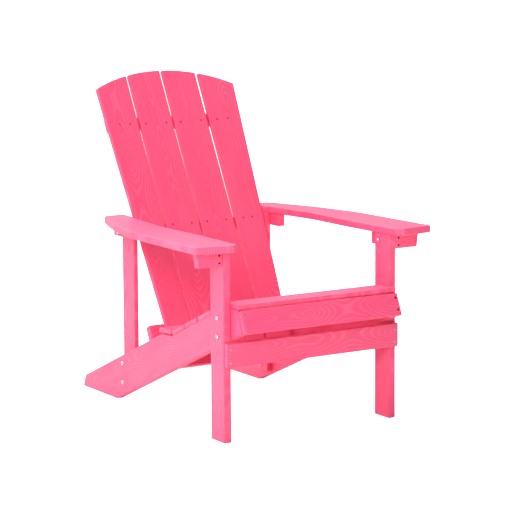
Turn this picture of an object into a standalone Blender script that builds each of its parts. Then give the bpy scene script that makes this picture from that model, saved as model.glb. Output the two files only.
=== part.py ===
"""Adirondack garden chair, made of solid plastic-lumber boards bolted and screwed together.

Units are metres. X runs across the chair, with the left side at -X as seen by someone
facing its front. Z is up from the ground. Every depth below is measured behind the front
faces of the front legs, and the finished chair is then centred on the origin.
"""
import math

import bmesh
import bpy
from mathutils import Matrix, Vector

# Clearances and finish
GAP = 0.0003                 # left between pieces that touch
EDGE_RADIUS = 0.0025         # rounding along every board edge
EDGE_SEGMENTS = 2

# Board thicknesses
FRAME_T = 0.0224             # legs, rails, stretcher and arm supports
POST_T = 0.0142
ARM_T = 0.0193
SLAT_T = 0.0140
SEAT_T = 0.0135
APRON_T = 0.0150
NOSE_T = 0.0147

# Front legs and the arms above them
LEG_OUTER_X = 0.2741
LEG_INNER_X = LEG_OUTER_X - FRAME_T
LEG_DEPTH = 0.0668
ARM_UNDERSIDE_Z = 0.5085

# Side rails: they slope up from a foot on the ground behind to the seat's front
RAIL_OUTER_X = LEG_INNER_X - GAP
RAIL_INNER_X = RAIL_OUTER_X - FRAME_T
RAIL_SLOPE = math.radians(23.3)
RAIL_WIDTH = 0.107
SEAT_LINE = 0.0877           # height of the seat edge, square above the rail's lower edge
FOOT_FRONT_Y = 0.632
FOOT_REAR_Y = 0.8405
FOOT_REAR_TOP = (0.8255, 0.0350)
RAIL_END_Y = -0.0524         # lower front corner of the rail
RAIL_NOSE_Z = 0.3548         # level top of the rail under the front seat board
NOTCH_REAR = (0.3690, 0.2324)
NOTCH_TILT = math.radians(2.8)
NOTCH_LENGTH = 0.0555

# Seat boards
SEAT_HALF_LENGTH = 0.2500
SEAT_BOARD_WIDTH = 0.0685
SEAT_PITCH = 0.0755
SEAT_FIRST_Y = 0.3095        # rear lower corner of the first sloping board
SEAT_SLOPING_BOARDS = 4
NOSE_BOARD_FRONT_Y = -0.0360
NOSE_BOARD_WIDTH = 0.0670
REAR_BOARD_WIDTH = 0.0670
FRONT_BOARD_HALF = 0.2488
FRONT_BOARD_WIDTH = 0.0628
FRONT_BOARD_DROP = 0.0027    # how far its lower edge hangs below the rail's corner

# Apron across the front legs
APRON_HALF = 0.2725
APRON_Z = (0.2013, 0.2663)

# Reclined back: S runs up the slats from a line BACK_Z above the ground
RECLINE = math.radians(27.5)
BACK_Y = 0.4621
BACK_Z = 0.2835
BACK_SAG = 0.0089            # the middle of the back lies this far behind its sides
BACK_SAG_X = 0.2000
SLAT_BOTTOM_S = -0.125
SLAT_RADIUS = 0.0035         # rounding of the slats' edges
# Gaps between slats: width at S = 0, and its spread per metre
MIDDLE_GAP = (0.0035, 0.0050)
OUTER_GAP = (0.0035, 0.0058)
BACK_X = 0.0020              # the back is set slightly to the right
OUTER_EDGE = (0.1994, 0.045)  # outer edge of the back: x at S = 0, and its spread per metre
INNER_EDGE = (0.1145, 0.0025)  # joint between an inner and an outer slat, likewise
CROWN_S = 0.7259             # highest point of the back
CROWN_RADIUS = 0.502
CROWN_X = -0.0038            # where that point is, from the back's own middle
CROWN_CORNER = 0.0030

# Cross pieces behind the slats
BATTEN_REAR = 0.0340         # their flat rear face, behind the back's front plane
STRETCHER_FRONT = 0.0370
BATTENS = {                  # half length, lowest and highest S
    "back_upper_batten": (0.2155, 0.5455, 0.5855),
    "back_middle_batten": (0.2121, 0.221, 0.256),
    "back_lower_batten": (0.1780, -0.112, -0.062),
}
STRETCHER_S = (-0.167, -0.036)

# Rear posts
POST_INNER_X = RAIL_INNER_X - GAP - POST_T
POST_Y = (0.5617, 0.6293)
POST_BOTTOM_Z = 0.0365

# Arms and the blocks that carry them
ARM_OUTLINE = (              # x, y and corner radius, for the arm at +X
    (0.2505, -0.0310, 0.003),
    (0.2705, -0.0475, 0.003),
    (0.3745, -0.0274, 0.009),
    (0.3665, 0.3250, 0.150),
    (0.3345, 0.4840, 0.080),
    (0.2820, 0.6360, 0.012),
    (0.2680, 0.6500, 0.008),
    (0.2120, 0.6500, 0.004),
    (0.2160, 0.5900, 0.040),
    (0.2262, 0.5400, 0.040),
    (0.2480, 0.3680, 0.100),
    (0.2440, 0.1770, 0.200),
)
BRACKET_Z = 0.4676
BRACKET_END_X = (0.3470, 0.3520)   # at its lower and upper edge
BRACKET_T = 0.0211
FRONT_CLEAT_END_Y = 0.1150
FRONT_CLEAT_Z = 0.4690
REAR_CLEAT_Y = {"left": (0.5450, 0.6370), "right": (0.5200, 0.6370)}
REAR_CLEAT_Z = 0.4725

# Bolts with domed heads, and domed cap nuts
SHANK_R = 0.0030
HOLE_R = SHANK_R + GAP
HEAD_R = 0.0062
HEAD_H = 0.0034
NUT_R = 0.0058
NUT_H = 0.0072
NUT_BORE = 0.0052            # depth of the blind bore
BOLT_END = 0.0045            # length of shank inside the nut
TURN_STEPS = 12

LEG_BOLTS = ((0.0324, 0.3278), (0.0324, 0.2784))
POST_BOLTS = ((0.5948, 0.1085), (0.5948, 0.0534))
FRONT_CLEAT_BOLT = (0.0463, 0.4880)
REAR_CLEAT_BOLT = (0.6135, 0.4840)

SIDES = (("left", -1), ("right", 1))


def clear_scene():
    for obj in list(bpy.data.objects):
        bpy.data.objects.remove(obj, do_unlink=True)


def collection(name):
    made = bpy.data.collections.new(name)
    bpy.context.scene.collection.children.link(made)
    return made


def plain_material(name, colour, roughness, metallic):
    made = bpy.data.materials.new(name)
    made.use_nodes = True
    shader = made.node_tree.nodes["Principled BSDF"]
    shader.inputs["Base Color"].default_value = (*colour, 1.0)
    shader.inputs["Roughness"].default_value = roughness
    shader.inputs["Metallic"].default_value = metallic
    return made


def add_object(name, mesh, material, place=None):
    """Put a mesh into the chair's collection under its own name."""
    obj = bpy.data.objects.new(name, mesh)
    CHAIR.objects.link(obj)
    mesh.materials.clear()
    mesh.materials.append(material)
    if place is not None:
        mesh.transform(place)
    obj.parent = CHAIR_ROOT
    return obj


def fillet(corners):
    """Points of a closed outline whose corners (u, v, radius) become arcs."""
    points = []
    count = len(corners)
    for index, (u, v, radius) in enumerate(corners):
        here = Vector((u, v))
        back = (Vector(corners[index - 1][:2]) - here).normalized()
        ahead = (Vector(corners[(index + 1) % count][:2]) - here).normalized()
        if radius <= 0.0:
            points.append(here)
            continue
        half = back.angle(ahead) / 2.0
        reach = radius / math.tan(half)
        centre = here + (back + ahead).normalized() * (radius / math.sin(half))
        start = here + back * reach - centre
        end = here + ahead * reach - centre
        turn = start.angle_signed(end)
        steps = max(2, int(math.degrees(abs(turn)) / 14.0) + 1)
        for step in range(steps + 1):
            swung = start.copy()
            swung.rotate(Matrix.Rotation(-turn * step / steps, 2))
            points.append(centre + swung)
    return points


def outline_board(name, outline, thickness, place, material):
    """A board cut to an outline in its local XY plane, with its back on Z = 0."""
    curve = bpy.data.curves.new(name + "_outline", "CURVE")
    curve.dimensions = "2D"
    curve.fill_mode = "BOTH"
    curve.extrude = thickness / 2.0
    spline = curve.splines.new("POLY")
    spline.points.add(len(outline) - 1)
    for point, where in zip(spline.points, outline):
        point.co = (where[0], where[1], 0.0, 1.0)
    spline.use_cyclic_u = True
    flat = bpy.data.objects.new(name + "_outline", curve)
    bpy.context.scene.collection.objects.link(flat)
    bpy.context.view_layer.update()
    graph = bpy.context.evaluated_depsgraph_get()
    mesh = bpy.data.meshes.new_from_object(flat.evaluated_get(graph))
    bpy.data.objects.remove(flat, do_unlink=True)
    mesh.name = name
    shape = bmesh.new()
    shape.from_mesh(mesh)
    bmesh.ops.remove_doubles(shape, verts=shape.verts, dist=1e-6)
    bmesh.ops.dissolve_limit(shape, angle_limit=math.radians(0.5),
                             verts=shape.verts, edges=shape.edges)
    bmesh.ops.translate(shape, verts=shape.verts, vec=(0.0, 0.0, thickness / 2.0))
    bmesh.ops.transform(shape, matrix=place, verts=shape.verts)
    bmesh.ops.recalc_face_normals(shape, faces=shape.faces)
    shape.to_mesh(mesh)
    shape.free()
    return add_object(name, mesh, material)


def box_board(name, low, high, material, place=None):
    """A square-cut board between two opposite corners."""
    low, high = Vector(low), Vector(high)
    shape = bmesh.new()
    bmesh.ops.create_cube(shape, size=1.0)
    bmesh.ops.scale(shape, vec=high - low, verts=shape.verts)
    bmesh.ops.translate(shape, vec=(high + low) / 2.0, verts=shape.verts)
    mesh = bpy.data.meshes.new(name)
    shape.to_mesh(mesh)
    shape.free()
    return add_object(name, mesh, material, place)


def side_frame(outer_x, side):
    """Local x, y, z to depth, height and the way across, for boards that stand fore and aft.

    Local Z = 0 lies on outer_x and runs towards the middle of the chair.
    """
    return Matrix((
        (0.0, 0.0, -side, side * outer_x),
        (1.0, 0.0, 0.0, 0.0),
        (0.0, 1.0, 0.0, 0.0),
        (0.0, 0.0, 0.0, 1.0),
    ))


def round_edges(board, radius=EDGE_RADIUS):
    bevel = board.modifiers.new("rounded edges", "BEVEL")
    bevel.width = radius
    bevel.segments = EDGE_SEGMENTS
    bevel.limit_method = "ANGLE"
    bevel.angle_limit = math.radians(40.0)
    bevel.use_clamp_overlap = True


def drill(board, x_range, centre):
    """Bore a bolt hole along X through a board at (depth, height)."""
    length = abs(x_range[1] - x_range[0])
    shape = bmesh.new()
    bmesh.ops.create_cone(shape, cap_ends=True, segments=TURN_STEPS, radius1=HOLE_R,
                          radius2=HOLE_R, depth=length)
    name = "{}_hole_{}".format(board.name, len(board.modifiers))
    mesh = bpy.data.meshes.new(name)
    shape.to_mesh(mesh)
    shape.free()
    cutter = bpy.data.objects.new(name, mesh)
    CUTTERS.objects.link(cutter)
    cutter.rotation_euler = (0.0, math.pi / 2.0, 0.0)
    cutter.location = ((x_range[0] + x_range[1]) / 2.0, centre[0], centre[1])
    cutter.hide_render = True
    cutter.display_type = "WIRE"
    cutter.parent = CHAIR_ROOT
    cut = board.modifiers.new(name, "BOOLEAN")
    cut.operation = "DIFFERENCE"
    cut.solver = "EXACT"
    cut.object = cutter


def turned(name, profile, material, place):
    """A turned piece, from a profile that runs from its top to its bottom at +X."""
    mesh = bpy.data.meshes.new(name)
    mesh.from_pydata([(r, 0.0, z) for r, z in profile],
                     [(i, i + 1) for i in range(len(profile) - 1)], [])
    piece = add_object(name, mesh, material)
    piece.matrix_local = place
    screw = piece.modifiers.new("turn", "SCREW")
    screw.axis = "Z"
    screw.steps = TURN_STEPS
    screw.render_steps = TURN_STEPS
    screw.use_merge_vertices = True
    screw.merge_threshold = 1e-5
    screw.use_smooth_shade = True
    return piece


def across_frame(x, centre, outward):
    """Local +Z along X in the outward sense, with the origin at (x, depth, height)."""
    turn = Matrix.Rotation(outward * math.pi / 2.0, 4, "Y")
    return Matrix.Translation((x, centre[0], centre[1])) @ turn


def bolt_and_nut(label, head_x, nut_x, centre):
    """A domed bolt whose head sits on head_x, and the cap nut on its end at nut_x."""
    outward = 1 if head_x > nut_x else -1
    reach = abs(head_x - nut_x) + GAP + BOLT_END
    dome = [(HEAD_R * math.cos(a), HEAD_H * math.sin(a))
            for a in (math.pi / 2.0, math.radians(62), math.radians(34), math.radians(10))]
    dome[0] = (0.0, HEAD_H)
    profile = dome + [(HEAD_R, 0.0), (SHANK_R, 0.0), (SHANK_R, -reach), (0.0, -reach)]
    turned("bolt_" + label, profile, STEEL,
           across_frame(head_x + outward * GAP, centre, outward))

    cap = [(0.0, NUT_H), (NUT_R * 0.55, NUT_H - 0.0008), (NUT_R * 0.88, NUT_H - 0.0026),
           (NUT_R, NUT_H - 0.0046), (NUT_R, 0.0), (HOLE_R, 0.0), (HOLE_R, NUT_BORE),
           (0.0, NUT_BORE)]
    turned("cap_nut_" + label, cap, STEEL,
           across_frame(nut_x - outward * GAP, centre, -outward))


def rail_lower_z(y):
    """Height of the side rail's lower edge."""
    return (FOOT_FRONT_Y - y) * math.tan(RAIL_SLOPE)


def seat_line_z(y):
    """Height of the rail's edge under the sloping seat boards."""
    return rail_lower_z(y) + SEAT_LINE / math.cos(RAIL_SLOPE)


def seat_line_y(z):
    return FOOT_FRONT_Y - (z - SEAT_LINE / math.cos(RAIL_SLOPE)) / math.tan(RAIL_SLOPE)


def rail_outline():
    upper_at_notch = rail_lower_z(NOTCH_REAR[0]) + RAIL_WIDTH / math.cos(RAIL_SLOPE)
    notch_front_y = NOTCH_REAR[0] - NOTCH_LENGTH
    notch_front = (notch_front_y, seat_line_z(notch_front_y))
    end_z = rail_lower_z(RAIL_END_Y)
    nose_front_y = RAIL_END_Y + (RAIL_NOSE_Z - end_z) * math.tan(RAIL_SLOPE)
    return fillet([
        (FOOT_FRONT_Y, 0.0, 0.030),
        (FOOT_REAR_Y, 0.0, 0.003),
        (*FOOT_REAR_TOP, 0.004),
        (NOTCH_REAR[0], upper_at_notch, 0.0),
        (*notch_front, 0.0),
        (seat_line_y(RAIL_NOSE_Z), RAIL_NOSE_Z, 0.0),
        (nose_front_y, RAIL_NOSE_Z, 0.0),
        (RAIL_END_Y, end_z, 0.0),
    ])


def make_frame():
    for label, side in SIDES:
        leg_x = sorted((side * LEG_INNER_X, side * LEG_OUTER_X))
        leg = box_board("front_leg_" + label, (leg_x[0], 0.0, 0.0),
                        (leg_x[1], LEG_DEPTH, ARM_UNDERSIDE_Z - GAP), PLASTIC)
        rail = outline_board("side_rail_" + label, rail_outline(), FRAME_T,
                             side_frame(RAIL_OUTER_X, side), PLASTIC)
        post_x = sorted((side * POST_INNER_X, side * (POST_INNER_X + POST_T)))
        post = box_board("rear_post_" + label, (post_x[0], POST_Y[0], POST_BOTTOM_Z),
                         (post_x[1], POST_Y[1], ARM_UNDERSIDE_Z - GAP), PLASTIC)
        for board in (leg, rail, post):
            round_edges(board)
        across = (side * 0.15, side * 0.35)
        for centre in LEG_BOLTS:
            drill(leg, across, centre)
            drill(rail, across, centre)
        for centre in POST_BOLTS:
            drill(rail, across, centre)
            drill(post, across, centre)
        drill(leg, across, FRONT_CLEAT_BOLT)
        drill(post, across, REAR_CLEAT_BOLT)


def make_front():
    apron = box_board("front_apron", (-APRON_HALF, -GAP - APRON_T, APRON_Z[0]),
                      (APRON_HALF, -GAP, APRON_Z[1]), PLASTIC)
    round_edges(apron)
    tilt = Matrix.Translation((0.0, RAIL_END_Y, rail_lower_z(RAIL_END_Y)))
    tilt = tilt @ Matrix.Rotation(-RAIL_SLOPE, 4, "X")
    board = box_board("seat_front_board", (-FRONT_BOARD_HALF, -GAP - NOSE_T, -FRONT_BOARD_DROP),
                      (FRONT_BOARD_HALF, -GAP, FRONT_BOARD_WIDTH - FRONT_BOARD_DROP),
                      PLASTIC, tilt)
    round_edges(board)


def make_seat():
    def seat_board(number, width, y, z, slope):
        """A seat board whose rear lower corner is at (y, z), rising towards the front."""
        place = Matrix.Translation((0.0, y, z)) @ Matrix.Rotation(-slope, 4, "X")
        board = box_board("seat_board_{}".format(number), (-SEAT_HALF_LENGTH, -width, GAP),
                          (SEAT_HALF_LENGTH, 0.0, GAP + SEAT_T), PLASTIC, place)
        round_edges(board)

    seat_board(1, NOSE_BOARD_WIDTH, NOSE_BOARD_FRONT_Y + NOSE_BOARD_WIDTH, RAIL_NOSE_Z, 0.0)
    for row in range(SEAT_SLOPING_BOARDS):
        steps = SEAT_SLOPING_BOARDS - 1 - row
        y = SEAT_FIRST_Y - steps * SEAT_PITCH * math.cos(RAIL_SLOPE)
        seat_board(row + 2, SEAT_BOARD_WIDTH, y, seat_line_z(y), RAIL_SLOPE)
    rear_y = NOTCH_REAR[0] + 0.0145
    rear_z = NOTCH_REAR[1] - 0.0145 * math.tan(NOTCH_TILT)
    seat_board(SEAT_SLOPING_BOARDS + 2, REAR_BOARD_WIDTH, rear_y, rear_z, NOTCH_TILT)


def back_frame():
    """Local X across, Y up the slats, and Z forward out of the back's front plane."""
    up = Vector((0.0, math.sin(RECLINE), math.cos(RECLINE)))
    front = Vector((0.0, -math.cos(RECLINE), math.sin(RECLINE)))
    across = Vector((1.0, 0.0, 0.0))
    frame = Matrix((across, up, front)).transposed().to_4x4()
    return Matrix.Translation((0.0, BACK_Y, BACK_Z)) @ frame


def edge_x(edge, s):
    return edge[0] + edge[1] * s


def slat_span(outer):
    """Lower edges, upper edges and middle of an inner or outer slat at +X."""
    spans = []
    for s in (SLAT_BOTTOM_S, CROWN_S):
        joint = edge_x(INNER_EDGE, s)
        if outer:
            spans.append((joint + edge_x(OUTER_GAP, s) / 2.0, edge_x(OUTER_EDGE, s)))
        else:
            spans.append((edge_x(MIDDLE_GAP, s) / 2.0, joint - edge_x(OUTER_GAP, s) / 2.0))
    middle = sum(sum(span) for span in spans) / 4.0
    return spans[0], spans[1], middle


def sag(x):
    return BACK_SAG * (1.0 - (x / BACK_SAG_X) ** 2)


def sag_slope(x):
    return -2.0 * BACK_SAG * x / BACK_SAG_X ** 2


def crown_s(x):
    """Height of the rounded top of the back."""
    return CROWN_S - CROWN_RADIUS + math.sqrt(CROWN_RADIUS ** 2 - (x - CROWN_X) ** 2)


def slat_outline(outer, side):
    """Outline of a slat, as if at +X: straight edges below, the shared crown's arc above."""
    low, high, _ = slat_span(outer)

    def x_at(edge, s):
        share = (s - SLAT_BOTTOM_S) / (CROWN_S - SLAT_BOTTOM_S)
        return low[edge] + (high[edge] - low[edge]) * share

    inner_x = x_at(0, crown_s(side * high[0]))
    outer_x = x_at(1, crown_s(side * high[1]))
    steps = 6
    arc = [outer_x + (inner_x - outer_x) * step / steps for step in range(steps + 1)]
    corners = [(low[0], SLAT_BOTTOM_S, 0.0), (low[1], SLAT_BOTTOM_S, 0.0)]
    for step, x in enumerate(arc):
        radius = CROWN_CORNER if step in (0, steps) else 0.0
        corners.append((x, crown_s(side * x), radius))
    return fillet(corners)


def make_back():
    shifted = back_frame() @ Matrix.Translation((BACK_X, 0.0, 0.0))
    for number, (outer, side) in enumerate(((True, -1), (False, -1), (False, 1), (True, 1)), 1):
        middle = slat_span(outer)[2]
        turn = Matrix.Rotation(-side * math.atan(-sag_slope(middle)), 4, "Y")
        seat = Matrix.Translation((side * middle, 0.0, -sag(middle)))
        outline = [(side * (x - middle), s) for x, s in
                   ((p[0], p[1]) for p in slat_outline(outer, side))]
        place = shifted @ seat @ turn @ Matrix.Translation((0.0, 0.0, -SLAT_T))
        board = outline_board("back_slat_{}".format(number), outline, SLAT_T, place, PLASTIC)
        round_edges(board, SLAT_RADIUS)

    for name, (half, low_s, high_s) in BATTENS.items():
        outline = batten_outline(half)
        stand = Matrix(((1.0, 0.0, 0.0, 0.0), (0.0, 0.0, 1.0, low_s),
                        (0.0, -1.0, 0.0, 0.0), (0.0, 0.0, 0.0, 1.0)))
        board = outline_board(name, outline, high_s - low_s, shifted @ stand, PLASTIC)
        round_edges(board)

    stretcher = box_board("back_stretcher",
                          (-RAIL_INNER_X + GAP, STRETCHER_S[0], -STRETCHER_FRONT - FRAME_T),
                          (RAIL_INNER_X - GAP, STRETCHER_S[1], -STRETCHER_FRONT),
                          PLASTIC, back_frame())
    round_edges(stretcher)


def batten_outline(half):
    """Plan of a cross piece: one flat facet under each slat, and a flat rear face."""
    inner_mid = slat_span(False)[2]
    outer_mid = slat_span(True)[2]
    joint = edge_x(INNER_EDGE, 0.0)

    def behind(middle, x):
        return SLAT_T + sag(middle) + sag_slope(middle) * (x - middle) + 2.0 * GAP

    at_joint = max(behind(inner_mid, joint), behind(outer_mid, joint))
    right = [(joint, at_joint), (half, max(behind(outer_mid, half), SLAT_T - 0.0005))]
    front = [(-x, d) for x, d in reversed(right)] + [(0.0, behind(inner_mid, 0.0))] + right
    return [Vector(p) for p in front + [(half, BATTEN_REAR), (-half, BATTEN_REAR)]]


def make_arms():
    for label, side in SIDES:
        outline = fillet([(side * x, y, r) for x, y, r in ARM_OUTLINE])
        arm = outline_board("armrest_" + label, outline, ARM_T,
                            Matrix.Translation((0.0, 0.0, ARM_UNDERSIDE_Z)), PLASTIC)
        round_edges(arm)

        top = ARM_UNDERSIDE_Z - GAP
        start = side * (LEG_OUTER_X + GAP)
        bracket_outline = [(start, BRACKET_Z), (side * BRACKET_END_X[0], BRACKET_Z),
                           (side * BRACKET_END_X[1], top), (start, top)]
        upright = Matrix(((1.0, 0.0, 0.0, 0.0), (0.0, 0.0, 1.0, 0.0009),
                          (0.0, 1.0, 0.0, 0.0), (0.0, 0.0, 0.0, 1.0)))
        bracket = outline_board("arm_bracket_front_" + label, bracket_outline, BRACKET_T,
                                upright, PLASTIC)
        round_edges(bracket)

        cleat_x = sorted((start, side * (LEG_OUTER_X + GAP + FRAME_T)))
        cleat = box_board("arm_cleat_front_" + label,
                          (cleat_x[0], 0.0009 + BRACKET_T + GAP, FRONT_CLEAT_Z),
                          (cleat_x[1], FRONT_CLEAT_END_Y, top), PLASTIC)
        round_edges(cleat)
        drill(cleat, (side * 0.15, side * 0.35), FRONT_CLEAT_BOLT)

        post_face = POST_INNER_X + POST_T + GAP
        rear_x = sorted((side * post_face, side * (post_face + FRAME_T)))
        rear_y = REAR_CLEAT_Y[label]
        rear = box_board("arm_cleat_rear_" + label, (rear_x[0], rear_y[0], REAR_CLEAT_Z),
                         (rear_x[1], rear_y[1], top), PLASTIC)
        round_edges(rear)
        drill(rear, (side * 0.15, side * 0.35), REAR_CLEAT_BOLT)


def make_fasteners():
    levels = ("upper", "lower")
    for label, side in SIDES:
        for level, centre in zip(levels, LEG_BOLTS):
            bolt_and_nut("leg_{}_{}".format(label, level), side * LEG_OUTER_X,
                         side * RAIL_INNER_X, centre)
        for level, centre in zip(levels, POST_BOLTS):
            bolt_and_nut("post_{}_{}".format(label, level), side * RAIL_OUTER_X,
                         side * POST_INNER_X, centre)
        bolt_and_nut("arm_front_" + label, side * (LEG_OUTER_X + GAP + FRAME_T),
                     side * LEG_INNER_X, FRONT_CLEAT_BOLT)
        bolt_and_nut("arm_rear_" + label, side * (POST_INNER_X + POST_T + GAP + FRAME_T),
                     side * POST_INNER_X, REAR_CLEAT_BOLT)


def centre_on_origin():
    """Slide the whole chair so that its box is centred on X = Y = 0 and stands on Z = 0."""
    bpy.context.view_layer.update()
    graph = bpy.context.evaluated_depsgraph_get()
    depths = []
    for obj in CHAIR.objects:
        if obj.type != "MESH":
            continue
        seen = obj.evaluated_get(graph)
        mesh = seen.to_mesh()
        depths += [(seen.matrix_world @ vertex.co).y for vertex in mesh.vertices]
        seen.to_mesh_clear()
    CHAIR_ROOT.location.y = -(min(depths) + max(depths)) / 2.0
    bpy.context.view_layer.update()


clear_scene()
CHAIR = collection("adirondack_chair")
CUTTERS = collection("cutters")
CHAIR_ROOT = bpy.data.objects.new("chair_root", None)
CHAIR.objects.link(CHAIR_ROOT)
PLASTIC = plain_material("pink_plastic_lumber", (1.0, 0.155, 0.283), 0.55, 0.0)
STEEL = plain_material("zinc_plated_steel", (0.62, 0.62, 0.63), 0.28, 1.0)
make_frame()
make_front()
make_seat()
make_back()
make_arms()
make_fasteners()
centre_on_origin()
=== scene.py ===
"""Looks of an Adirondack chair in pink plastic lumber. Metres, +Z up, the chair faces -Y."""
import math
import random

import bmesh
import bpy
from mathutils import Matrix, Vector


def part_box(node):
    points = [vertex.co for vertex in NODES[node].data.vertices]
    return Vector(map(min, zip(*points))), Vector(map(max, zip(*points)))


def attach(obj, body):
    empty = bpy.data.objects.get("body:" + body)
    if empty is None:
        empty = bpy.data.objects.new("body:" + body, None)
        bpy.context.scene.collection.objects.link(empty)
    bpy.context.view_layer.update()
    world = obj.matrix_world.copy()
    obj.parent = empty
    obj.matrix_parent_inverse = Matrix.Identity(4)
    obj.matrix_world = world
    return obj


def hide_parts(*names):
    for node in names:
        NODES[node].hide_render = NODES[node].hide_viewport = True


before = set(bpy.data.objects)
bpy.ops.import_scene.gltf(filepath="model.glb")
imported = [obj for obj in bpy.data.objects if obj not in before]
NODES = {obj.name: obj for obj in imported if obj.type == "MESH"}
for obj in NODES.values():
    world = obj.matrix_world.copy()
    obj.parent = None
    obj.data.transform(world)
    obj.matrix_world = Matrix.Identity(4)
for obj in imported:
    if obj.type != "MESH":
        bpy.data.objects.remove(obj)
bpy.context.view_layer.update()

SIDES = (("left", -1), ("right", 1))
LEG_FACE_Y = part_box("front_leg_left")[0].y    # the front faces of the front legs

RAIL_SLOPE = math.radians(23.3)               # the side rails fall backwards
RECLINE = math.radians(27.5)                  # the back leans back from upright
WHITE = (1.0, 1.0, 1.0, 1.0)


# ---------------------------------------------------------------- node helpers
class Graph:
    """A few short ways to write the nodes of a material or of the world."""

    def __init__(self, owner, shader="Principled BSDF"):
        owner.use_nodes = True
        self.tree = owner.node_tree
        self.shader = self.tree.nodes[shader]

    def node(self, kind, **settings):
        made = self.tree.nodes.new(kind)
        for key, value in settings.items():
            setattr(made, key, value)
        return made

    def put(self, socket, value):
        if hasattr(value, "links"):
            self.tree.links.new(value, socket)
        else:
            socket.default_value = value

    def math(self, operation, first, second=0.0):
        made = self.node("ShaderNodeMath", operation=operation)
        self.put(made.inputs[0], first)
        self.put(made.inputs[1], second)
        return made.outputs[0]

    def add(self, first, *others):
        for other in others:
            first = self.math("ADD", first, other)
        return first

    def times(self, first, second):
        return self.math("MULTIPLY", first, second)

    def smooth(self, value, low, high, to_low=0.0, to_high=1.0):
        made = self.node("ShaderNodeMapRange", interpolation_type="SMOOTHSTEP")
        self.put(made.inputs["Value"], value)
        for name, number in (("From Min", low), ("From Max", high),
                             ("To Min", to_low), ("To Max", to_high)):
            made.inputs[name].default_value = number
        return made.outputs["Result"]

    def scaled(self, vector, scale):
        made = self.node("ShaderNodeVectorMath", operation="MULTIPLY")
        self.put(made.inputs[0], vector)
        made.inputs[1].default_value = scale
        return made.outputs["Vector"]

    def noise(self, vector, scale, detail=2.0, roughness=0.5):
        made = self.node("ShaderNodeTexNoise")
        self.put(made.inputs["Vector"], vector)
        made.inputs["Scale"].default_value = scale
        made.inputs["Detail"].default_value = detail
        made.inputs["Roughness"].default_value = roughness
        return made.outputs["Fac"]

    def attribute(self, name):
        return self.node("ShaderNodeAttribute", attribute_name=name).outputs["Vector"]

    def parts(self, vector):
        made = self.node("ShaderNodeSeparateXYZ")
        self.put(made.inputs[0], vector)
        return made.outputs

    def mix(self, factor, first, second):
        made = self.node("ShaderNodeMix", data_type="RGBA")
        self.put(made.inputs["Factor"], factor)
        self.put(made.inputs["A"], first)
        self.put(made.inputs["B"], second)
        return made.outputs["Result"]

    def bump(self, height, distance):
        made = self.node("ShaderNodeBump")
        made.inputs["Distance"].default_value = distance
        self.put(made.inputs["Height"], height)
        self.put(self.shader.inputs["Normal"], made.outputs["Normal"])


# ---------------------------------------------------------------- materials
PINK = (0.900, 0.076, 0.188, 1.0)
PINK_LIGHT = (0.925, 0.128, 0.252, 1.0)
PINK_DEEP = (0.860, 0.056, 0.158, 1.0)
RING_PERIOD = 0.0068          # from one pressed ring line to the next
HAIR_PERIOD = 0.0023          # the finer lines between them
PITH_SWING = 0.330            # how far the rings' middle rises and sinks along a board
SWAY = 0.026                  # how far the rings bend sideways
GRAIN_RELIEF = 0.00042        # depth of the whole pressed pattern
PLASTIC_IOR = 1.49


def wave(nodes, distance, period, low, high):
    """Soft lines that repeat with a distance."""
    ripple = nodes.math("SINE", nodes.times(distance, 2.0 * math.pi / period))
    return nodes.smooth(ripple, low, high)


def plastic_lumber():
    """Solid-coloured plastic board with a wood grain pressed into its faces.

    The attribute "board" runs in metres along, across and through each board, so that the
    grain follows it; "pith" moves the rings' middle from board to board. The grain is cut
    from cylinders of rings whose middle rises and sinks under the face, which draws the
    long pointed arches of a flat-sawn plank.
    """
    material = bpy.data.materials.new("pink_plastic_lumber")
    nodes = Graph(material)
    board = nodes.attribute("board")
    _, across, _ = nodes.parts(board)
    _, offset, _ = nodes.parts(nodes.attribute("pith"))

    def stretched(along, cross, detail=2.0, roughness=0.5):
        return nodes.noise(nodes.scaled(board, (along, cross, cross)), 1.0, detail, roughness)

    drift = nodes.noise(nodes.scaled(board, (1.0, 0.0, 0.0)), 2.3, 1.5, 0.45)
    depth = nodes.times(nodes.math("SUBTRACT", drift, 0.5), PITH_SWING)
    bend = nodes.times(nodes.math("SUBTRACT", stretched(6.0, 12.0, 3.0), 0.5), SWAY)
    side = nodes.add(nodes.math("SUBTRACT", across, offset), bend)
    radius = nodes.math("SQRT", nodes.add(nodes.times(side, side), nodes.times(depth, depth)))
    line = wave(nodes, radius, RING_PERIOD, 0.0, 0.95)
    hair = wave(nodes, radius, HAIR_PERIOD, 0.1, 0.9)
    pressed = nodes.times(line, nodes.smooth(stretched(3.0, 9.0), 0.36, 0.58, 0.35, 1.0))

    # short fibres pressed along the board, and a fine matt tooth everywhere
    fibres = nodes.smooth(stretched(26.0, 700.0, 2.0, 0.6), 0.44, 0.66)
    tooth = nodes.noise(board, 1300.0, 2.0, 0.6)
    relief = nodes.add(nodes.times(pressed, 0.8), nodes.times(hair, 0.22),
                       nodes.times(fibres, 0.30), nodes.times(tooth, 0.18))
    nodes.bump(relief, GRAIN_RELIEF)

    mottle = stretched(9.0, 40.0, 3.0, 0.6)
    tone = nodes.mix(nodes.times(pressed, 0.80), PINK, PINK_LIGHT)
    tone = nodes.mix(nodes.times(fibres, 0.22), tone, PINK_LIGHT)
    tone = nodes.mix(nodes.smooth(mottle, 0.45, 0.8, 0.0, 0.40), tone, PINK_DEEP)
    nodes.put(nodes.shader.inputs["Base Color"], tone)
    nodes.put(nodes.shader.inputs["Roughness"], nodes.add(nodes.times(mottle, 0.16), 0.38))
    nodes.shader.inputs["IOR"].default_value = PLASTIC_IOR
    return material


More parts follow.
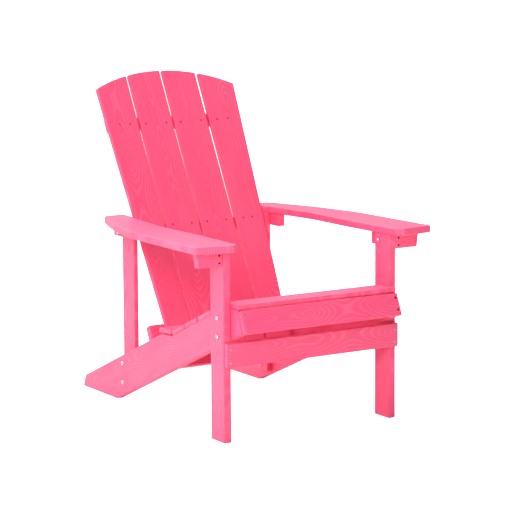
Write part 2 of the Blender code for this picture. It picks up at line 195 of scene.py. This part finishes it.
def metal(name, colour, roughness, worn):
    """Fastener metal with fine turning marks, and tarnish that darkens it to worn."""
    material = bpy.data.materials.new(name)
    nodes = Graph(material)
    place = nodes.node("ShaderNodeTexCoord").outputs["Object"]
    marks = nodes.noise(place, 2600.0, 2.0, 0.6)
    tarnish = nodes.noise(place, 420.0, 3.0, 0.6)
    dull = tuple(channel * worn for channel in colour[:3]) + (1.0,)
    tone = nodes.mix(nodes.smooth(tarnish, 0.4, 0.75, 0.0, 0.7), colour, dull)
    nodes.put(nodes.shader.inputs["Base Color"], tone)
    nodes.put(nodes.shader.inputs["Roughness"], nodes.add(nodes.times(marks, 0.12), roughness))
    nodes.shader.inputs["Metallic"].default_value = 1.0
    nodes.bump(marks, 0.00004)
    return material


LUMBER = plastic_lumber()
BRIGHT = metal("bolt_steel", (0.56, 0.54, 0.56, 1.0), 0.10, 0.65)
DARK = metal("screw_steel", (0.045, 0.022, 0.028, 1.0), 0.42, 0.55)
SILVER = metal("silver_screw_steel", (0.52, 0.48, 0.49, 1.0), 0.22, 0.6)


# ---------------------------------------------------------------- boards
X, Y, Z = Vector((1, 0, 0)), Vector((0, 1, 0)), Vector((0, 0, 1))
SEAT_OUT = Vector((0, math.sin(RAIL_SLOPE), math.cos(RAIL_SLOPE)))
RAIL_RUN = Vector((0, -math.cos(RAIL_SLOPE), math.sin(RAIL_SLOPE)))    # forwards and up
BACK_UP = Vector((0, math.sin(RECLINE), math.cos(RECLINE)))
BACK_OUT = Vector((0, -math.cos(RECLINE), math.sin(RECLINE)))
GRAINS = (                   # name's start, direction along the board, direction through it
    ("back_slat", BACK_UP, BACK_OUT),
    ("back_stretcher", X, BACK_OUT),
    ("back_", X, BACK_UP),
    ("side_rail", RAIL_RUN, X),
    ("front_leg", Z, X),
    ("rear_post", Z, X),
    ("armrest", Y, Z),
    ("arm_bracket", X, Y),
    ("arm_cleat", Y, X),
    ("front_apron", X, Y),
    ("seat_front_board", X, RAIL_RUN),
    ("seat_board_1", X, Z),
    ("seat_board", X, SEAT_OUT),
)


def grain_of(name):
    for start, run, face in GRAINS:
        if name.startswith(start):
            return run, face
    raise KeyError(name)


def lay_grain(board, chance):
    """Store the board's own coordinates and its pith, from which the grain is worked out."""
    run, face = grain_of(board.name)
    across = face.cross(run)
    middle = sum(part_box(board.name), Vector()) / 2.0
    start = chance.uniform(2.0, 60.0)
    offset = chance.uniform(-0.022, 0.022)
    mesh = board.data
    coords = mesh.attributes.new("board", "FLOAT_VECTOR", "POINT")
    pith = mesh.attributes.new("pith", "FLOAT_VECTOR", "POINT")
    for vertex, where, rings in zip(mesh.vertices, coords.data, pith.data):
        spot = vertex.co - middle
        where.vector = (spot.dot(run) + start, spot.dot(across), spot.dot(face))
        rings.vector = (0.0, offset, 0.0)


def smooth_edges(obj):
    """Round edges shade smoothly into the flats, which stay flat."""
    obj.data.shade_smooth()
    weigh = obj.modifiers.new("flat faces", "WEIGHTED_NORMAL")
    weigh.keep_sharp = True
    weigh.weight = 100


def dress_nodes():
    """Give every CAD node its material."""
    chance = random.Random(20)
    for name in sorted(NODES):
        piece = NODES[name]
        piece.data.materials.clear()
        if name.startswith(("bolt_", "cap_nut_")):
            piece.data.materials.append(BRIGHT)
        else:
            piece.data.materials.append(LUMBER)
            lay_grain(piece, chance)
            smooth_edges(piece)


dress_nodes()


# ---------------------------------------------------------------- turned shapes
def place_new(name, mesh):
    obj = bpy.data.objects.new(name, mesh)
    bpy.context.scene.collection.objects.link(obj)
    return obj


def circle(radius, steps, flats=0.0):
    """Points round the origin; with flats they lie on a hexagon of that half width."""
    points = []
    for index in range(steps):
        turn = 2.0 * math.pi * index / steps
        if flats:
            radius = flats / math.cos((turn % (math.pi / 3.0)) - math.pi / 6.0)
        points.append((radius * math.cos(turn), radius * math.sin(turn)))
    return points


def skin(name, rings, material):
    """A closed mesh through rings of points; the first and last are single points."""
    shape = bmesh.new()
    made = [[shape.verts.new(point) for point in ring] for ring in rings]
    steps = len(made[1])
    for one, two in zip(made, made[1:]):
        for i in range(steps):
            j = (i + 1) % steps
            if len(one) == 1:
                shape.faces.new((one[0], two[i], two[j]))
            elif len(two) == 1:
                shape.faces.new((one[j], one[i], two[0]))
            else:
                shape.faces.new((one[i], two[i], two[j], one[j]))
    bmesh.ops.recalc_face_normals(shape, faces=shape.faces)
    mesh = bpy.data.meshes.new(name)
    shape.to_mesh(mesh)
    shape.free()
    mesh.materials.append(material)
    return mesh


def shade(mesh, crease):
    """Shade a mesh smooth except across edges sharper than crease, in degrees."""
    mesh.shade_smooth()
    mesh.set_sharp_from_angle(angle=math.radians(crease))


# ---------------------------------------------------------------- bolts and cap nuts
TURNED_STEPS = 36
SHANK = 0.0030                # the bolts' shank radius
HEAD = 0.0062                 # radius of a bolt's button head
SOCKET = 0.00205              # half the width of its hexagon socket
SOCKET_FLOOR = 0.0012
NUT_FLATS = 0.0050            # half the width of a cap nut across its flats
NUT_BORE = SHANK + 0.0003
WIDER_THAN_SHANK = 0.0055     # a fastener's points past this radius are on its head


def ring_at(x, radius=0.0, flats=0.0):
    return [(x, y, z) for y, z in circle(radius, TURNED_STEPS, flats)]


def bolt_rings(reach):
    """Button head with a hexagon socket, and a shank that ends at -reach; outward is +X."""
    dome = ((0.0, HEAD), (0.0006, HEAD), (0.0012, 0.0060), (0.0020, 0.0055),
            (0.0027, 0.0047), (0.0032, 0.0037), (0.0034, 0.0029), (0.0033, 0.0026))
    rings = [[(-reach, 0.0, 0.0)], ring_at(-reach, SHANK), ring_at(0.0, SHANK)]
    rings += [ring_at(x, radius) for x, radius in dome]
    rings += [ring_at(0.0031, flats=SOCKET), ring_at(SOCKET_FLOOR + 0.0002, flats=SOCKET)]
    rings.append([(SOCKET_FLOOR, 0.0, 0.0)])
    return rings


def nut_rings():
    """Acorn nut: hexagon below, dome above, and the blind bore that the shank fills."""
    bore_end = 0.0052
    rings = [[(bore_end, 0.0, 0.0)], ring_at(bore_end, NUT_BORE), ring_at(0.0, NUT_BORE),
             ring_at(0.0, flats=NUT_FLATS), ring_at(0.0030, flats=NUT_FLATS),
             ring_at(0.0035, 0.0047)]
    for degrees in (5, 25, 45, 65, 80):
        angle = math.radians(degrees)
        rings.append(ring_at(0.0038 + 0.0034 * math.sin(angle), 0.0046 * math.cos(angle)))
    rings.append([(0.0072, 0.0, 0.0)])
    return rings


def replace_fasteners():
    """Set a turned bolt or nut in the place of each plain one."""
    for name in sorted(NODES):
        if not name.startswith(("bolt_", "cap_nut_")):
            continue
        low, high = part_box(name)
        middle = (low + high) / 2.0
        wide = [v.co.x for v in NODES[name].data.vertices
                if math.hypot(v.co.y - middle.y, v.co.z - middle.z) > WIDER_THAN_SHANK]
        head_side = 1 if sum(wide) / len(wide) > middle.x else -1
        if name.startswith("bolt_"):
            outward = head_side
            seat = min(wide) if outward > 0 else max(wide)
            reach = (seat - low.x) if outward > 0 else (high.x - seat)
            rings = bolt_rings(reach)
        else:
            # a nut is widest at its open end, which faces the board
            outward = -head_side
            seat = low.x if outward > 0 else high.x
            rings = nut_rings()
        mesh = skin(name + "_turned", rings, BRIGHT)
        shade(mesh, 35.0)
        obj = place_new(name + "_turned", mesh)
        obj.matrix_world = (Matrix.Translation((seat, middle.y, middle.z))
                            @ Matrix.Rotation(0.0 if outward > 0 else math.pi, 4, "Z"))
        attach(obj, "root")
        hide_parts(name)


replace_fasteners()


# ---------------------------------------------------------------- screws
SCREW = 0.0036                # a screw head's radius
SCREW_STEPS = 28


def cross_recess(name, radius):
    """Two crossed bars that cut a screw's recess."""
    bars = bmesh.new()
    for spin in (0.0, math.pi / 2.0):
        made = bmesh.ops.create_cube(bars, size=1.0)["verts"]
        bmesh.ops.scale(bars, vec=(radius * 1.05, radius * 0.26, radius * 0.30), verts=made)
        bmesh.ops.rotate(bars, matrix=Matrix.Rotation(spin, 3, "Z"), verts=made)
        bmesh.ops.translate(bars, vec=(0.0, 0.0, radius * 0.32), verts=made)
    mesh = bpy.data.meshes.new(name)
    bars.to_mesh(mesh)
    bars.free()
    return place_new(name, mesh)


def screw_mesh(name, radius, material):
    """A pan-head screw with a cross recess; its head's underside lies on Z = 0."""
    profile = ((0.34, 0.325), (0.62, 0.27), (0.84, 0.17), (0.96, 0.06), (1.0, 0.0),
               (0.98, -0.05))     # radius and height, as shares of the head's radius
    rings = [[(0.0, 0.0, 0.34 * radius)]]
    rings += [[(x, y, height * radius) for x, y in circle(share * radius, SCREW_STEPS)]
              for share, height in profile]
    rings.append([(0.0, 0.0, -0.05 * radius)])
    head = place_new(name, skin(name, rings, material))
    cutter = cross_recess(name + "_recess", radius)
    cut = head.modifiers.new("recess", "BOOLEAN")
    cut.operation = "DIFFERENCE"
    cut.solver = "EXACT"
    cut.object = cutter
    cut.use_self = True           # the recess's two bars cross
    bpy.context.view_layer.update()
    graph = bpy.context.evaluated_depsgraph_get()
    finished = bpy.data.meshes.new_from_object(head.evaluated_get(graph))
    finished.name = name
    bpy.data.objects.remove(head, do_unlink=True)
    bpy.data.objects.remove(cutter, do_unlink=True)
    shade(finished, 32.0)
    return finished


DARK_SCREW = screw_mesh("screw_grey_head", SCREW, DARK)
SILVER_SCREW = screw_mesh("screw_silver_head", SCREW, SILVER)


def from_legs(x, y, z):
    """A point given by its distance behind the front legs' faces."""
    return Vector((x, y + LEG_FACE_Y, z))


def face_point(node, start, out):
    """Where a line through start, along -out, first meets a board from outside."""
    hit, where, normal, _ = NODES[node].ray_cast(start + out * 0.2, -out, distance=1.0)
    if not hit:
        raise ValueError("no face of {} at {}".format(node, tuple(start)))
    return where, normal


def screw(name, mesh, node, start, out, sink, spin):
    """Set a screw's head on a board's face, sunk into it a little and turned at random."""
    where, normal = face_point(node, start, out)
    obj = place_new(name, mesh)
    facing = normal.to_track_quat("Z", "Y").to_matrix().to_4x4()
    obj.matrix_world = (Matrix.Translation(where - normal * sink) @ facing
                        @ Matrix.Rotation(spin.uniform(0.0, math.pi), 4, "Z"))
    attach(obj, "root")


SINK = 0.00055                    # into the front boards
SEAT_SINK = 0.00085               # into the seat boards
BACK_SINK = 0.00075               # into the slats
APRON_X, APRON_Z = 0.2615, (0.2500, 0.2155)
FRONT_X, FRONT_YZ = 0.2392, ((-0.0470, 0.3430), (-0.0600, 0.3120))
BRACKET_X, BRACKET_Z = 0.2845, (0.4970, 0.4770)
SEAT_X, SEAT_BOARDS = 0.2410, 6
BACK_FOOT = (0.4621, 0.2835)      # behind the legs' faces and above the ground
BACK_ROWS = (                     # a row's way up the back, and its screws' distances from the middle
    ("upper", 0.5584, (0.0240, 0.0925, 0.1464, 0.1819)),
    ("middle", 0.2448, (0.0259, 0.0894, 0.1464, 0.1755)),
)


def front_screws(label, side, spin):
    """The screws at one end of the apron, of the front board and in an arm bracket."""
    for number, z in enumerate(APRON_Z, 1):
        screw("screw_apron_{}_{}".format(label, number), SILVER_SCREW, "front_apron",
              from_legs(side * APRON_X, 0.0, z), -Y, SINK, spin)
    # painted shade: the front board's screws are silver, but on the right-hand end, in the leg's
    # shadow, they get the dark screw head
    mesh = SILVER_SCREW if side < 0 else DARK_SCREW
    for number, (y, z) in enumerate(FRONT_YZ, 1):
        screw("screw_front_board_{}_{}".format(label, number), mesh, "seat_front_board",
              from_legs(side * FRONT_X, y, z), RAIL_RUN, SINK, spin)
    for number, z in enumerate(BRACKET_Z, 1):
        screw("screw_arm_bracket_{}_{}".format(label, number), DARK_SCREW,
              "arm_bracket_front_" + label, from_legs(side * BRACKET_X, 0.0, z), -Y, SINK, spin)


def seat_screws(label, side, spin):
    """One screw at one end of each seat board."""
    for number in range(1, SEAT_BOARDS + 1):
        board = "seat_board_{}".format(number)
        start = sum(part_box(board), Vector()) / 2.0
        start.x = side * SEAT_X
        out = Z if number == 1 else SEAT_OUT
        screw("screw_seat_{}_{}".format(number, label), DARK_SCREW, board, start, out,
              SEAT_SINK, spin)


def back_screws(spin):
    """Two rows across the back, two screws to a slat."""
    for row, way_up, places in BACK_ROWS:
        for index, x in enumerate([-place for place in reversed(places)] + list(places)):
            screw("screw_back_{}_{}".format(row, index + 1), DARK_SCREW,
                  "back_slat_{}".format(index // 2 + 1),
                  from_legs(x, *BACK_FOOT) + BACK_UP * way_up, BACK_OUT, BACK_SINK, spin)


def set_screws():
    spin = random.Random(7)
    for label, side in SIDES:
        front_screws(label, side, spin)
        seat_screws(label, side, spin)
    back_screws(spin)


bpy.context.view_layer.update()
set_screws()


# ---------------------------------------------------------------- floor, light and camera
FLOOR_SIZE = 30.0
FLOOR_DROP = 0.0004
ROOM_BASE = 0.10                  # the room's light from all round
ROOM = (                          # direction, half angle and softness in degrees, brightness
    ((-0.20, 0.55, 1.00), 42.0, 18.0, 2.25),
    ((-0.35, 1.00, 0.15), 45.0, 15.0, 0.90),
)
ROOM_SEEN = 1.02                  # the backdrop's white, as the camera sees it
LENS = 145.96
SENSOR = 36.0
LENS_SHIFT = -0.1258
CAMERA_AT = (-3.0260, -4.5574, 1.3135)      # Y from the front legs' faces
CAMERA_TURN = (-32.092, 7.008, -0.313)      # azimuth, elevation and roll in degrees


def floor():
    """A pale floor, as white to the camera as the room."""
    mesh = bpy.data.meshes.new("floor")
    shape = bmesh.new()
    bmesh.ops.create_grid(shape, x_segments=1, y_segments=1, size=FLOOR_SIZE)
    shape.to_mesh(mesh)
    shape.free()
    obj = place_new("floor", mesh)
    obj.location.z = -FLOOR_DROP
    material = bpy.data.materials.new("pale_floor")
    nodes = Graph(material)
    speck = nodes.noise(nodes.node("ShaderNodeTexCoord").outputs["Object"], 3.0, 4.0)
    tone = nodes.mix(nodes.times(speck, 0.2), (0.90, 0.90, 0.90, 1.0), (0.84, 0.84, 0.84, 1.0))
    nodes.put(nodes.shader.inputs["Base Color"], tone)
    nodes.shader.inputs["Roughness"].default_value = 0.8
    nodes.shader.inputs["Emission Color"].default_value = WHITE
    seen = nodes.node("ShaderNodeLightPath").outputs["Is Camera Ray"]
    nodes.put(nodes.shader.inputs["Emission Strength"], seen)
    mesh.materials.append(material)


def surroundings():
    """A studio room: plain white to the camera, brighter on some sides for the chair."""
    world = bpy.data.worlds.new("studio_room")
    bpy.context.scene.world = world
    nodes = Graph(world, "Background")
    look = nodes.node("ShaderNodeTexCoord").outputs["Generated"]
    light = ROOM_BASE
    for direction, half, soft, level in ROOM:
        dot = nodes.node("ShaderNodeVectorMath", operation="DOT_PRODUCT")
        nodes.put(dot.inputs[0], look)
        dot.inputs[1].default_value = Vector(direction).normalized()
        edge, full = (math.cos(math.radians(angle)) for angle in (half + soft, half - soft))
        light = nodes.add(light, nodes.smooth(dot.outputs["Value"], edge, full, 0.0, level))
    pick = nodes.node("ShaderNodeMix", data_type="FLOAT")
    seen = nodes.node("ShaderNodeLightPath").outputs["Is Camera Ray"]
    nodes.put(pick.inputs["Factor"], seen)
    nodes.put(pick.inputs["A"], light)
    nodes.put(pick.inputs["B"], ROOM_SEEN)
    nodes.shader.inputs["Color"].default_value = WHITE
    nodes.put(nodes.shader.inputs["Strength"], pick.outputs["Result"])


def softbox(name, place, target, size, watts):
    light = bpy.data.lights.new(name, "AREA")
    light.shape = "RECTANGLE"
    light.size, light.size_y = size
    light.energy = watts
    obj = place_new(name, light)
    obj.location = place
    obj.rotation_euler = (Vector(target) - Vector(place)).to_track_quat("-Z", "Y").to_euler()


def camera():
    """The view: a long lens from the front left, a little above the arms."""
    azimuth, elevation, roll = map(math.radians, CAMERA_TURN)
    back = Vector((math.sin(azimuth) * math.cos(elevation),
                   -math.cos(azimuth) * math.cos(elevation), math.sin(elevation)))
    right = Vector((math.cos(azimuth), math.sin(azimuth), 0.0))
    up = back.cross(right)
    right, up = (right * math.cos(roll) + up * math.sin(roll),
                 up * math.cos(roll) - right * math.sin(roll))
    data = bpy.data.cameras.new("view")
    data.sensor_width = SENSOR
    data.lens = LENS
    data.shift_y = LENS_SHIFT
    data.clip_end = 200.0
    obj = place_new("view", data)
    axes = Matrix((right, up, back)).transposed().to_4x4()
    obj.matrix_world = Matrix.Translation(from_legs(*CAMERA_AT)) @ axes
    bpy.context.scene.camera = obj


floor()
surroundings()
softbox("key", (-2.6, -2.2, 2.6), (0.0, 0.0, 0.45), (1.6, 1.6), 32.0)
softbox("near", (-1.9, -1.9, 1.3), (0.0, 0.0, 0.40), (0.9, 0.9), 38.0)
softbox("top", (0.2, 0.9, 3.4), (0.0, 0.0, 0.45), (2.4, 1.6), 52.0)
camera()
bpy.context.scene.view_settings.view_transform = "Standard"
bpy.context.scene.view_settings.look = "None"
